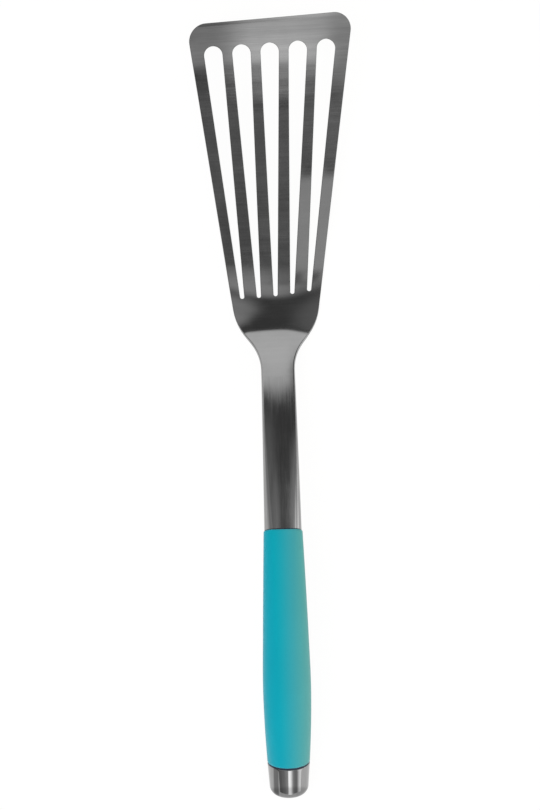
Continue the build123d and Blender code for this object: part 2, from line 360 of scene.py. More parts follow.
plan_table = np.arange(neck_end, blade_length * plan_reach_share, plan_step)
plan_places = centre_line(plan_table)[0]


def unrolled(points):
    """Plan points with their second value turned into the length along the centre line."""
    points = np.array([tuple(point) for point in points])
    return np.column_stack((points[:, 0], np.interp(points[:, 1], plan_places, plan_table)))


def loop_normals(points, closed=True):
    """Outward normals of a counterclockwise loop, from its neighbours."""
    before = np.roll(points, 1, axis=0)
    after = np.roll(points, -1, axis=0)
    if not closed:
        before[0] = points[0]
        after[-1] = points[-1]
    tangent = after - before
    normal = np.column_stack((tangent[:, 1], -tangent[:, 0]))
    return normal / np.linalg.norm(normal, axis=1, keepdims=True)


def blade_outline():
    """Loop of the blade's outside: points, outward directions and radii of its rounded edges."""
    end_y = float(centre_line(neck_end)[0])
    sides = []
    for side, tip_radius in ((1, right_corner_radius), (-1, left_corner_radius)):
        tip = blade_length + side * front_rise
        corners = [
            (side * neck_width / 2, end_y, 0),
            (side * neck_width / 2, -neck_back, neck_radius),
            (side * half_width(-shoulder_back), -shoulder_back, shoulder_radius),
            (side * half_width(tip), tip - tip_inset, tip_radius),
        ]
        sides.append(corners)
    points = unrolled(subdivided(rounded_path(sides[0] + sides[1][::-1])))
    outward = loop_normals(points, closed=False)
    outward[0] = (1, 0)
    outward[-1] = (-1, 0)
    points[0, 1] = points[-1, 1] = neck_end
    along = points[:, 1]
    front_share = ramp(along, lip_start + front_edge_lead, blade_length - front_edge_tail)
    neck_share = ramp(along, -neck_edge_lead_share * heel_length, neck_end + neck_edge_tail)
    radii = edge_radius + (front_edge_radius - edge_radius) * front_share
    radii += (shaft_nose_corner - edge_radius) * neck_share
    inner = neck_width / 2 - 2 * shaft_nose_corner
    ends = np.linspace(-inner, inner, neck_end_points)
    end_points = np.column_stack((ends, np.full(len(ends), neck_end)))
    points = np.vstack((points, end_points))
    outward = np.vstack((outward, np.zeros_like(end_points)))
    radii = np.append(radii, np.full(len(ends), shaft_nose_corner))
    return points, outward, radii


def slot_outline(step):
    """Loop of one slot: a hull of a wide round end and a narrow one."""
    side = step * slot_pitch
    front_end = slot_front + side * tan(slot_front_slant)
    rear_end = slot_rear + side * tan(slot_rear_slant) / 2
    wide = slot_front_width / 2
    narrow = slot_rear_width / 2
    run = front_end - rear_end - wide - narrow
    lean = step * slot_fan_angle
    front = Vector((side, front_end - wide))
    rear = front - Vector((sin(lean), cos(lean))) * run
    flare = asin((wide - narrow) / run)
    path = []
    for centre, radius, first, last in (
        (front, wide, -flare, radians(180) + flare),
        (rear, narrow, radians(180) + flare, radians(360) - flare),
    ):
        count = round((last - first) / arc_step)
        for k in range(count + 1):
            angle = first + (last - first) * k / count - lean
            path.append(centre + Vector((cos(angle), sin(angle))) * radius)
    points = unrolled(subdivided(path + [path[0]])[:-1])
    return points, -loop_normals(points), np.full(len(points), edge_radius)


# Blade sheet


def along_heel(rear_share, neck_shares, heel_shares, along):
    """Share of a size's change at lengths along the neck and the heel."""
    places = [neck_end - 1] + [-heel_length - share * neck_length for share in neck_place_shares[::-1]]
    places += [-share * heel_length for share in heel_place_shares[::-1]] + [0, heel_lead]
    return smooth_through(places, (rear_share, *neck_shares[::-1], *heel_shares[::-1], 0, 0), along)


def sheet_half(along):
    """Half the sheet's thickness."""
    share = along_heel(1, neck_thickness_shares, heel_thickness_shares, along)
    return (blade_thickness + (neck_thickness - blade_thickness) * share) / 2


def sheet_dish(along):
    """How far the heel's edges rise above its middle at the width of the blank."""
    return heel_dish * along_heel(0, neck_dish_shares, heel_dish_shares, along)


def bevel_reach(x, along):
    """Distance in front of the line where the front bevel starts."""
    y = np.interp(along, plan_table, plan_places)
    start = blade_length - bevel_width
    return (y - start - x * tan(front_slant)) * cos(front_slant)


def sheet_crown(x, along):
    """Height of the upper face over the middle of the sheet, but for the front bevel."""
    crown_share = ramp(along, -heel_length * neck_crown_lead_share, neck_end + neck_crown_tail)
    crown = neck_crown * crown_share * (2 * x / neck_width) ** 2
    ahead = np.clip((along - neck_end) / neck_blend, -1, 1)
    rear_slope = (shaft_rear_height - neck_thickness) / 2 * (1 - shaft_ease_share) / shaft_length
    return sheet_half(along) - crown - rear_slope * neck_blend * ahead * (1 - np.abs(ahead)) ** 2


def face_height(x, along, side):
    """Height of the upper (1) or lower (-1) face over the middle of the sheet."""
    if side < 0:
        return -sheet_half(along)
    return sheet_crown(x, along) - np.clip(bevel_reach(x, along), 0, None) * bevel_depth / bevel_width


def face_slopes(x, along, side):
    """Directions square to the upper (1) or lower (-1) face of the flat sheet."""
    step = 0.05
    height = sheet_crown if side > 0 else lambda x, along: sheet_half(along) + 0 * x
    across = (height(x + step, along) - height(x - step, along)) / (2 * step)
    onward = (height(x, along + step) - height(x, along - step)) / (2 * step)
    return np.column_stack((-across, -onward, np.full(len(x), float(side))))


def sheet_warp(x, along):
    """Slight unevenness of the sheet: at the lip, before the heel, over it and on two twisted tines."""
    across = x / half_width(along)
    rise = lip_rise * np.clip(1 - across**2, 0, 1) * ramp(along, *lip_rise_reach)
    hump_share = np.clip(heel_hump_share - heel_hump_share_fall * across, *heel_hump_share_limits)
    hump = heel_hump * ramp(along, *heel_hump_front) * ramp(along, *heel_hump_rear) * hump_share
    cup = heel_cup * across**2 * ramp(along, *heel_cup_front) * ramp(along, *heel_cup_rear)
    fold = -fold_drop * (ramp(x, *fold_left) + ramp(x, *fold_right))
    fold = fold * ramp(along, *fold_front) * ramp(along, *fold_rear)
    pitch = slot_pitch + (along - slot_front) * tan(slot_fan_angle)
    steps = x / pitch
    inner_tine, outer_tine = twisted_tine_steps
    twist = tine_twist * ramp(along, *tine_twist_rear) * ramp(along, *tine_twist_front) * pitch
    twist = twist * (steps - np.where(steps > 2, outer_tine, inner_tine))
    return rise + hump + cup + fold + np.where(steps > 1, twist, 0)


def sheet_point(x, along, height):
    """Blade-frame place of a point of the sheet at a height over its middle."""
    y, z, angle = centre_line(along)
    raised = height + sheet_dish(along) * (x / (half_width(heel_lead) + blank_overrun)) ** 2
    raised = raised + sheet_warp(x, along)
    return np.stack((x, y + np.sin(angle) * raised, z + np.cos(angle) * raised), axis=-1)


def sheet_normals(flat, normals):
    """Directions of flat-sheet normals once the sheet is bent to shape."""
    step = 0.01
    across, onward, upward = (
        (sheet_point(*(flat + shift).T) - sheet_point(*(flat - shift).T)) / (2 * step)
        for shift in np.eye(3) * step
    )
    bent = (
        normals[:, :1] * np.cross(onward, upward)
        + normals[:, 1:2] * np.cross(upward, across)
        + normals[:, 2:] * np.cross(across, onward)
    )
    return turned(bent)


def inside(points, loop):
    """Which points lie inside a closed loop."""
    x, y = points.T
    within = np.zeros(len(points), bool)
    for (ax, ay), (bx, by) in zip(loop, np.roll(loop, -1, axis=0)):
        crosses = (ay > y) != (by > y)
        if crosses.any():
            within[crosses] ^= x[crosses] < (bx - ax) * (y[crosses] - ay) / (by - ay) + ax
    return within


def in_sheet(points, loops):
    """Which points lie on the sheet and outside its slots."""
    on_sheet = inside(points, loops[0])
    for loop in loops[1:]:
        on_sheet &= ~inside(points, loop)
    return on_sheet


def gaps_to(edge, points):
    """Distance of each point from the nearest one on an edge."""
    return np.array([np.min(np.hypot(*(edge - point).T)) for point in points])


def sheet_grid(loops):
    """Inner points for the sheet's faces, closer together over the heel."""
    reach = blade_front_width / 2
    rows = []
    along = neck_end + heel_step
    while along < blade_length + grid_overrun:
        step = heel_step if along < heel_lead else sheet_step
        rows += [(x, along) for x in np.arange(-reach, reach, step)]
        along += step
    points = np.array(rows)
    points = points[in_sheet(points, loops)]
    gaps = gaps_to(np.vstack(loops), points)
    steps = np.where(points[:, 1] < heel_lead, heel_step, sheet_step)
    bevel = np.abs(bevel_reach(points[:, 0], points[:, 1]))
    return points[(gaps > grid_gap_share * steps) & (bevel > bevel_gap)]


def bevel_line(loop):
    """Points along the line where the front bevel starts."""
    reach = blade_front_width / 2
    x = np.arange(-reach, reach, bevel_step)
    y = blade_length - bevel_width + x * tan(front_slant)
    points = unrolled(np.column_stack((x, y)))
    points = points[inside(points, loop)]
    return points[gaps_to(loop, points) > bevel_gap]


def sheet_triangles(loops):
    """Inner points, triangles between them and the loops' points, and which of these lie on the bevel."""
    edges = []
    start = 0
    for loop in loops:
        edges += [(start + i, start + (i + 1) % len(loop)) for i in range(len(loop))]
        start += len(loop)
    line = bevel_line(loops[0])
    edges += [(start + i, start + i + 1) for i in range(len(line) - 1)]
    inner = np.vstack((line, sheet_grid(loops)))
    plane = np.vstack((*loops, inner))
    meshed = delaunay_2d_cdt([Vector(point) for point in plane], edges, [], 0, weld_distance)
    origin = [sources[0] for sources in meshed[3]]
    triangles = np.array([[origin[i] for i in face] for face in meshed[2]])
    triangles = triangles[in_sheet(plane[triangles].mean(axis=1), loops)]
    a, b, c = (plane[triangles[:, i]] for i in (0, 1, 2))
    turn = (b - a)[:, 0] * (c - b)[:, 1] - (b - a)[:, 1] * (c - b)[:, 0]
    triangles[turn < 0] = triangles[turn < 0][:, ::-1]
    return inner, triangles, bevel_reach(*plane[triangles].mean(axis=1).T) > 0


def build_blade(material):
    """The blade: one sheet with rounded slot and outer edges."""
    outlines = [blade_outline()]
    outlines += [slot_outline(slot - (slot_count - 1) / 2) for slot in range(slot_count)]
    inset_loops = [points - outward * radii[:, None] for points, outward, radii in outlines]
    inner, triangles, beveled = sheet_triangles(inset_loops)

    flat = []
    normals = []
    ring_start = {}
    faces = {}
    count = 0
    for side in (1, -1):
        numbers = []
        for number, (points, outward, radii) in enumerate(outlines):
            ring_start[side, number] = count
            numbers += range(count, count + len(points))
            level_out = np.column_stack((outward, np.zeros(len(points))))
            for angle in edge_angles:
                x, along = (points - outward * (radii * (1 - sin(angle)))[:, None]).T
                height = face_height(x, along, side) - side * radii * (1 - cos(angle))
                flat.append(np.column_stack((x, along, height)))
                normals.append(level_out * sin(angle) + face_slopes(x, along, side) * cos(angle))
                count += len(points)
        x, along = inner.T
        flat.append(np.column_stack((x, along, face_height(x, along, side))))
        normals.append(face_slopes(x, along, side))
        numbers += range(count, count + len(inner))
        count += len(inner)
        faces[side] = np.array(numbers)[triangles]
    flat = np.vstack(flat)
    normals = np.vstack(normals)

    walls = []
    end_walls = []
    for number, (points, outward, radii) in enumerate(outlines):
        size = len(points)
        steps = range(0, len(edge_angles) * size, size)
        rings = [ring_start[1, number] + step for step in steps]
        rings += [ring_start[-1, number] + step for step in steps[::-1]]
        is_end = [not direction.any() for direction in outward]
        for upper, lower in zip(rings, rings[1:]):
            for i in range(size):
                j = (i + 1) % size
                face = (upper + j, upper + i, lower + i, lower + j)
                if number > 0:
                    face = face[::-1]
                (end_walls if is_end[i] or is_end[j] else walls).append(face)

    slope = bevel_depth / bevel_width
    bevel_normals = np.tile((-sin(front_slant) * slope, cos(front_slant) * slope, 1), (len(flat), 1))
    shading = sheet_normals(flat, normals)
    groups = [
        (faces[1][~beveled].tolist(), shading),
        (faces[1][beveled].tolist(), sheet_normals(flat, bevel_normals)),
        (faces[-1][:, ::-1].tolist(), shading),
        (walls, shading),
        (end_walls, None),
    ]
    return make_piece("blade_sheet", to_world(sheet_point(*flat.T)), groups, material)


# Lofted pieces


def rounded_ring(width, height, corner, crown=0.0, half=0):
    """Counterclockwise points and normals of a rounded rectangle, or of its upper (1) or lower (-1) half."""
    corner = min(corner, width / 2 - side_remnant, height / 2 - side_remnant)
    points = []
    normals = []
    straight = width / 2 - corner
    upright = height / 2 - corner
    for number, (sx, sz) in enumerate(((1, 1), (-1, 1), (-1, -1), (1, -1))):
        for step in np.linspace(0, radians(90), quarter_points):
            angle = step + number * radians(90)
            points.append((sx * straight + corner * cos(angle), sz * upright + corner * sin(angle)))
            normals.append((cos(angle), sin(angle)))
        if number in (0, 2):
            for share in np.linspace(0, 1, broad_points)[1:-1]:
                points.append((sx * straight * (1 - 2 * share), sz * height / 2))
                normals.append((0, sz))
        else:
            for share in np.linspace(0, 1, narrow_points)[1:-1]:
                points.append((sx * width / 2, sz * upright * (1 - 2 * share)))
                normals.append((sx, 0))
    points = np.array(points)
    normals = np.array(normals)
    flatness = np.clip(1 - np.abs(points[:, 0]) / (width / 2), 0, 1)
    points[:, 1] -= np.sign(points[:, 1]) * crown * (1 - flatness) ** 2
    lean = 2 * crown * (1 - flatness) / (width / 2) * np.sign(points[:, 0])
    normals[:, 0] += lean * np.abs(normals[:, 1])
    normals /= np.linalg.norm(normals, axis=1, keepdims=True)
    if half:
        points, normals = half_ring(points, normals, half)
    return points, normals


def half_ring(points, normals, half):
    """The part of a ring above (1) or below (-1) its middle, ending on it."""
    top = 2 * quarter_points + broad_points - 2
    side = narrow_points - 2
    kept = slice(0, top) if half > 0 else slice(top + side, len(points) - side)
    points = points[kept]
    normals = normals[kept]
    points = np.vstack(((points[0, 0], 0), points, (points[-1, 0], 0)))
    normals = np.vstack(((normals[0, 0], 0), normals, (normals[-1, 0], 0)))
    return points, normals


def section_points(along, ring):
    """Blade-frame places of a ring drawn square to the centre line."""
    y, z = centre_line(along)[:2]
    return section_directions(along, ring) + (0, y, z)


def section_directions(along, ring):
    """Blade-frame directions of in-plane directions of a ring."""
    angle = centre_line(along)[2]
    x, up = ring.T
    return np.column_stack((x, np.sin(angle) * up, np.cos(angle) * up))


def lofted(alongs, rings, inward=False):
    """Places and shading normals of rings set along the centre line, ordered from front to rear."""
    points = []
    sideways = []
    outward = []
    for along, (ring, directions) in zip(alongs, rings):
        points.append(section_points(along, ring))
        sideways.append(section_directions(along, np.column_stack((-directions[:, 1], directions[:, 0]))))
        outward.append(section_directions(along, directions))
    points = np.array(points)
    normals = np.cross(sideways, np.gradient(points, np.asarray(alongs, float), axis=0))
    normals *= np.sign(np.sum(normals * outward, axis=-1, keepdims=True))
    normals /= np.linalg.norm(normals, axis=-1, keepdims=True)
    return points, -normals if inward else normals


def band(first, second, size, closed):
    """Faces between two rings of points, the second one behind the first."""
    count = size if closed else size - 1
    return [(first + i, first + (i + 1) % size, second + (i + 1) % size, second + i) for i in range(count)]


def build_tube(name, material, outer, inner, closed):
    """A closed wall between an outer and an inner loft of the same stations."""
    stations, size = outer[0].shape[:2]
    outer_points, outer_normals = (part.reshape(-1, 3) for part in outer)
    inner_points, inner_normals = (part.reshape(-1, 3) for part in inner)
    shift = len(outer_points)
    smooth = []
    for row in range(stations - 1):
        smooth += band(row * size, (row + 1) * size, size, closed)
        smooth += [face[::-1] for face in band(shift + row * size, shift + (row + 1) * size, size, closed)]
    flat = [face[::-1] for face in band(0, shift, size, closed)]
    last = (stations - 1) * size
    flat += band(last, shift + last, size, closed)
    if not closed:
        for row in range(stations - 1):
            a = row * size
            b = (row + 1) * size
            flat.append((a, b, shift + b, shift + a))
            flat.append((a + size - 1, shift + a + size - 1, shift + b + size - 1, b + size - 1))
    points = to_world(np.vstack((outer_points, inner_points)))
    normals = turned(np.vstack((outer_normals, inner_normals)))
    return make_piece(name, points, [(smooth, normals), (flat, None)], material)


def shaft_ring(along, inset=0.0, half=0):
    """One section of the shaft."""
    share = (neck_end - along) / shaft_length
    rise = share * (1 - shaft_ease_share + shaft_ease_share * share)
    width = neck_width + (shaft_rear_width - neck_width) * share
    height = neck_thickness + (shaft_rear_height - neck_thickness) * rise
    corner = shaft_nose_corner + (shaft_rear_corner - shaft_nose_corner) * rise
    crown = neck_crown * (1 + ramp(share, *shaft_crown_reach))
    corner = max(corner - inset, shaft_inner_corner)
    return rounded_ring(width - 2 * inset, height - 2 * inset, corner, crown, half)


def build_shell(name, material, half):
    """One half shell of the shaft."""
    alongs = np.linspace(neck_end, shaft_end, shaft_stations)
    outer = lofted(alongs, [shaft_ring(along, 0, half) for along in alongs])
    inner = lofted(alongs, [shaft_ring(along, shaft_wall, half) for along in alongs], inward=True)
    return build_tube(name, material, outer, inner, closed=False)


def grip_ring(along, inset=0.0):
    """One section of the grip sleeve."""
    share = (grip_start - along) / grip_length
    front = (grip_front_width, grip_front_height, grip_front_corner)
    rear = (grip_rear_width, grip_rear_width, grip_rear_corner)
    widest = (grip_width, grip_height, grip_middle_corner)
    sections = []
    for place, bulge in zip(grip_place_shares, grip_bulge_shares):
        end = front if place <= grip_widest_share else rear
        sections.append([first + (full - first) * bulge for first, full in zip(end, widest)])
    width, height, corner = (float(smooth_through(grip_place_shares, run, share)) for run in zip(*sections))
    inset += sleeve_inset
    return rounded_ring(width - 2 * inset, height - 2 * inset, corner - inset)


def build_sleeve(material):
    """The grip's moulded sleeve, with its ends' edges rounded."""
    steps = [sleeve_edge_radius * (1 - cos(angle)) for angle in edge_angles]
    rounding = [sleeve_edge_radius * (1 - sin(angle)) for angle in edge_angles]
    first = grip_start - sleeve_edge_radius
    middle_alongs = np.linspace(first, grip_end + sleeve_edge_radius, sleeve_stations)[1:-1]
    alongs = [grip_start - step for step in steps] + list(middle_alongs)
    alongs += [grip_end + step for step in steps[::-1]]
    insets = rounding + [0.0] * len(middle_alongs) + rounding[::-1]
    outer = lofted(alongs, [grip_ring(along, inset) for along, inset in zip(alongs, insets)])
    inner = lofted(alongs, [grip_ring(along, sleeve_wall) for along in alongs], inward=True)
    return build_tube("grip_sleeve_moulded", material, outer, inner, closed=True)


def cap_profile():
    """Depth, radius and normal (depth, radial) along the end cap's outside, rim first."""
    mouth = cap_front_diameter / 2
    rows = []
    for angle in edge_angles[::-1]:
        depth = cap_rim_radius * (1 - sin(angle))
        rows.append((depth, mouth - cap_rim_radius * (1 - cos(angle)), -sin(angle), cos(angle)))
    edge_depth = cap_length - cap_edge_radius
    for depth in np.linspace(cap_rim_radius, edge_depth, cap_side_rows)[1:-1]:
        rows.append((depth, mouth - depth * tan(cap_taper), sin(cap_taper), cos(cap_taper)))
    for angle in np.linspace(cap_taper, radians(90), cap_round_rows):
        depth = edge_depth + cap_edge_radius * sin(angle)
        rows.append((depth, cap_edge_radial + cap_edge_radius * cos(angle), sin(angle), cos(angle)))
    return rows


def build_cap(material):
    """The drawn end cap, closed at its rear."""
    y, z, slope = centre_line(cap_start)
    mouth = np.array((0, y, z))
    axis = np.array((0, -cos(slope), sin(slope)))
    up = np.array((0, sin(slope), cos(slope)))
    right = np.array((1.0, 0, 0))
    outside = cap_profile()
    rim_rows = len(edge_angles) - 1
    inside_rows = [
        (max(depth - cap_wall * nd, 0), radius - cap_wall * nr, -nd, -nr)
        for depth, radius, nd, nr in outside[rim_rows:]
    ]
    inside_rows[0] = (0.0,) + inside_rows[0][1:]
    points = []
    normals = []
    for depth, radius, nd, nr in outside + inside_rows:
        for k in range(cap_columns):
            angle = 2 * np.pi * k / cap_columns
            radial = right * cos(angle) + up * sin(angle)
            points.append(mouth + axis * depth + radial * radius)
            normals.append(axis * nd + radial * nr)
    points += [mouth + axis * cap_length, mouth + axis * (cap_length - cap_wall)]
    normals += [axis, -axis]
    outer_end = len(outside) * cap_columns
    inner_end = outer_end + len(inside_rows) * cap_columns
    outer_last = outer_end - cap_columns
    inner_last = inner_end - cap_columns
    smooth = []
    for start in range(0, outer_last, cap_columns):
        smooth += band(start, start + cap_columns, cap_columns, True)
    for start in range(outer_end, inner_last, cap_columns):
        smooth += [face[::-1] for face in band(start, start + cap_columns, cap_columns, True)]
    pairs = [(k, (k + 1) % cap_columns) for k in range(cap_columns)]
    smooth += [(outer_last + a, outer_last + b, inner_end) for a, b in pairs]
    smooth += [(inner_last + b, inner_last + a, inner_end + 1) for a, b in pairs]
    flat = [face[::-1] for face in band(0, outer_end, cap_columns, True)]
    groups = [(smooth, turned(normals)), (flat, None)]
    return make_piece("end_cap_drawn", to_world(points), groups, material)


# Materials


# Noises are given by scale, detail and roughness, and most of their values lie in noise_range.
# Tints and glosses are the levels that a noise's low and high values give.
noise_range = (0.3, 0.7)
streak_range = (0.25, 0.75)
fine_streaks = (1.0, 3.0, 0.6)
fine_streak_tint = (0.93, 1.06)
wide_streaks = (0.22, 2.0, 0.6)
wide_streak_tint = (0.94, 1.05)
faded_streak_share = 0.25
steel_clouds = (55.0, 3.0, 0.55)
steel_cloud_tint = (0.95, 1.04)
steel_cloud_gloss = (0.9, 1.12)
moulded_grain = (3.0, 0.65)
moulded_grain_tint = (0.95, 1.04)
moulded_clouds = (40.0, 2.0, 0.5)
moulded_cloud_tint = (0.98, 1.02)
moulded_cloud_gloss = (-0.03, 0.04)


class Nodes:
    """Maker of nodes in a tree. Inputs are values or the outputs of other nodes."""

    def __init__(self, tree):
        self.tree = tree

    def feed(self, node, inputs):
        """Sets or links inputs of a node."""
        for key, value in inputs.items():
            if isinstance(value, bpy.types.NodeSocket):
                self.tree.links.new(value, node.inputs[key])
            else:
                node.inputs[key].default_value = value

    def add(self, kind, inputs, **settings):
        """A new node."""
        node = self.tree.nodes.new(kind)
        for key, value in settings.items():
            setattr(node, key, value)
        self.feed(node, inputs)
        return node

    def math(self, operation, *values):
        """Result of an operation on values."""
        return self.add("ShaderNodeMath", dict(enumerate(values)), operation=operation).outputs["Value"]

    def dot(self, direction, axis):
        """How far a direction points along an axis."""
        inputs = {0: direction, 1: axis}
        return self.add("ShaderNodeVectorMath", inputs, operation="DOT_PRODUCT").outputs["Value"]

    def span(self, value, limits, results=(0, 1), kind="SMOOTHSTEP"):
        """A value's step from the first to the second result between two limits, which may fall."""
        keys = ("Value", "From Min", "From Max", "To Min", "To Max")
        inputs = dict(zip(keys, (value, *limits, *results)))
        return self.add("ShaderNodeMapRange", inputs, interpolation_type=kind).outputs["Result"]

    def noise(self, place, scale, detail, roughness):
        """Values of a noise texture."""
        inputs = {"Vector": place, "Scale": scale, "Detail": detail, "Roughness": roughness}
        return self.add("ShaderNodeTexNoise", inputs).outputs["Fac"]

    def mapped(self, place, **changes):
        """A place turned or stretched."""
        return self.add("ShaderNodeMapping", {"Vector": place, **changes}).outputs["Vector"]

    def bump(self, height, distance):
        """Normals of a fine relief."""
        inputs = {"Height": height, "Strength": 1.0, "Distance": distance}
        return self.add("ShaderNodeBump", inputs).outputs["Normal"]

    def painted(self, colour, level):
        """A colour at a level."""
        inputs = {"Factor": 1.0, "A": (*colour, 1), "B": level}
        return self.add("ShaderNodeMix", inputs, data_type="RGBA", blend_type="MULTIPLY")


def new_material(name):
    """A new node material with its shader and a maker of nodes."""
    material = bpy.data.materials.new(name)
    material.use_nodes = True
    nodes = Nodes(material.node_tree)
    return material, nodes.tree.nodes["Principled BSDF"], nodes


def steel(
    name, colour, roughness, streaks, grain_depth, spread=0.02, anisotropy=0.0,
    streak_turn=0.0, streak_reach=(), painted_shades=(),
):
    """Brushed or polished stainless steel, with streaks stretched along one axis.

    Streaks grow from faint to full over streak_reach. Painted shades darken or lighten the colour inside soft
    limits.
    """
    material, shader, nodes = new_material(name)
    place = nodes.add("ShaderNodeTexCoord", {}).outputs["Object"]
    stretched = nodes.mapped(nodes.mapped(place, Rotation=(0, 0, -streak_turn)), Scale=streaks)
    fine = nodes.noise(stretched, *fine_streaks)
    wide = nodes.noise(stretched, *wide_streaks)
    broad = nodes.noise(place, *steel_clouds)
    streak_gloss = nodes.span(fine, noise_range, (roughness - spread, roughness + spread))
    rough = nodes.math("MULTIPLY", streak_gloss, nodes.span(broad, noise_range, steel_cloud_gloss))
    fine_level = nodes.span(fine, streak_range, fine_streak_tint)
    level = nodes.math("MULTIPLY", fine_level, nodes.span(wide, noise_range, wide_streak_tint))
    parts = nodes.add("ShaderNodeSeparateXYZ", {"Vector": place}).outputs
    if streak_reach:
        kept = nodes.span(parts["Y"], streak_reach, (faded_streak_share, 1))
        level = nodes.math("MULTIPLY_ADD", level, kept, nodes.math("SUBTRACT", 1.0, kept))
    level = nodes.math("MULTIPLY", level, nodes.span(broad, noise_range, steel_cloud_tint))
    # Painted shade and highlight: the colour is scaled darker or lighter inside each shade's limits
    for limits, painted_level in painted_shades:
        within = 1.0
        for axis, start, full in limits:
            within = nodes.math("MULTIPLY", within, nodes.span(parts[axis], (start, full)))
        level = nodes.math("MULTIPLY", level, nodes.span(within, (0, 1), (1, painted_level)))
    tangent = nodes.add("ShaderNodeTangent", {}, direction_type="RADIAL", axis="X")
    shader_inputs = {
        "Base Color": nodes.painted(colour, level).outputs["Result"],
        "Roughness": rough,
        "Normal": nodes.bump(fine, grain_depth),
        "Tangent": tangent.outputs["Tangent"],
        "Metallic": 1.0,
        "Anisotropic": anisotropy,
    }
    nodes.feed(shader, shader_inputs)
    return material


def moulded(
    name, colour, roughness, grain_scale, grain_depth, specular, sheen=0.0, painted_sheen_colour=None, painted_sheen_reach=()
):
    """A matt moulded plastic or rubber with a fine grain, and maybe a painted sheen, greyer towards one side.
    """
    material, shader, nodes = new_material(name)
    place = nodes.add("ShaderNodeTexCoord", {}).outputs["Object"]
    grain = nodes.noise(place, grain_scale, *moulded_grain)
    broad = nodes.noise(place, *moulded_clouds)
    grain_level = nodes.span(grain, noise_range, moulded_grain_tint, "LINEAR")
    cloud_level = nodes.span(broad, noise_range, moulded_cloud_tint, "LINEAR")
    painted = nodes.painted(colour, nodes.math("MULTIPLY", grain_level, cloud_level))
    # Painted sheen: the colour turns greyer along x, standing in for a reflection on that side
    if painted_sheen_colour:
        across = nodes.add("ShaderNodeSeparateXYZ", {"Vector": place}).outputs["X"]
        inputs = {"Factor": nodes.span(across, painted_sheen_reach), "A": (*colour, 1), "B": (*painted_sheen_colour, 1)}
        painted_sheen_mix = nodes.add("ShaderNodeMix", inputs, data_type="RGBA")
        nodes.feed(painted, {"A": painted_sheen_mix.outputs["Result"]})
    glosses = [roughness + change for change in moulded_cloud_gloss]
    shader_inputs = {
        "Base Color": painted.outputs["Result"],
        "Roughness": nodes.span(broad, noise_range, glosses, "LINEAR"),
        "Normal": nodes.bump(grain, grain_depth),
        "Sheen Weight": sheen,
        "Specular IOR Level": specular,
    }
    nodes.feed(shader, shader_inputs)
    return material


# Painted shades of the steels, colour darker or lighter in place of reflections: soft limits, each an axis
# with where the painted shade starts and is full, in metres, and the level of the colour inside them
lip_low = table_y(55)
lip_middle = table_y(94)
lip_high = table_y(112)
# Painted shade: the lip's left and right ends darkened, standing in for darker reflections there
blade_painted_shades = (
    ((("X", 0.0, -0.034), ("Y", lip_middle, lip_high)), 0.45),
    ((("X", 0.022, 0.038), ("Y", lip_low, lip_high)), 0.8),
)
shaft_rear = table_y(*centre_line(shaft_end + 12)[:2])
shaft_middle = table_y(*centre_line(shaft_end + 42)[:2])
# Painted highlight: the middle of the shaft's rear lightened, standing in for a lighter reflection
shaft_painted_highlight = (((("Y", shaft_middle, shaft_rear), ("X", -0.0065, -0.002), ("X", 0.006, 0.002)), 1.7),)
cap_y, cap_z = centre_line(cap_start)[:2]
cap_end = table_y(cap_y - cos(cap_slope) * cap_length, cap_z + sin(cap_slope) * cap_length)
# Painted shade: the cap's rear end and a band down its left side darkened, standing in for darker reflections
cap_painted_shades = (
    ((("Y", cap_end + 0.0035, cap_end + 0.0005),), 0.7),
    ((("X", -0.0047, -0.0055), ("X", -0.0079, -0.0068)), 0.42),
)

steel_colour = (0.33, 0.33, 0.33)
blade_steel = steel(
    "blade_steel",
    steel_colour,
    roughness=0.11,
    streaks=(45, 2600, 2600),
    grain_depth=0.000004,
    anisotropy=0.3,
    streak_turn=front_slant / 2,
    streak_reach=(lip_low, lip_high),
    painted_shades=blade_painted_shades,
)
shaft_steel = steel(
    "shaft_steel",
    steel_colour,
    roughness=0.12,
    streaks=(1500, 60, 60),
    grain_depth=0.0000003,
    painted_shades=shaft_painted_highlight,
)
cap_steel = steel(
    "cap_steel",
    steel_colour,
    roughness=0.07,
    streaks=(1200, 80, 80),
    grain_depth=0.000001,
    painted_shades=cap_painted_shades,
)
inner_steel = steel(
    "inner_steel", (0.5, 0.5, 0.5), roughness=0.35, streaks=(300, 300, 300), grain_depth=0.00001, spread=0.05
)
grip_teal = moulded(
    "grip_teal",
    (0.0, 0.3, 0.388),
    roughness=0.5,
    grain_scale=2600.0,
    grain_depth=0.00003,
    specular=0.03,
    sheen=0.2,
    # Painted sheen: greyer towards the right side, standing in for a warm reflection there
    painted_sheen_colour=(0.065, 0.285, 0.3),
    painted_sheen_reach=(-0.005, 0.011),
)
core_plastic = moulded(
    "core_plastic", (0.05, 0.05, 0.06), roughness=0.5, grain_scale=1500.0, grain_depth=0.00002, specular=0.5
)
seal_rubber = moulded(
    "seal_rubber", (0.012, 0.02, 0.04), roughness=0.6, grain_scale=2000.0, grain_depth=0.00002, specular=0.3
)

# Pieces
finish_piece(build_blade(blade_steel), "blade")
finish_piece(build_shell("shaft_upper_polished", shaft_steel, 1), "shaft_upper_shell")
finish_piece(build_shell("shaft_lower_polished", shaft_steel, -1), "shaft_lower_shell")
finish_piece(build_sleeve(grip_teal), "grip_sleeve")
finish_piece(build_cap(cap_steel), "end_cap")

# Solids that show as they are
for material, kept_nodes in (
    (inner_steel, ("shaft_bulkhead", "tang", "tang_washer", "tang_nut")),
    (core_plastic, ("grip_core",)),
    (seal_rubber, ("front_seal", "rear_seal")),
):
    for node in kept_nodes:
        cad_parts[node].data.materials[0] = material

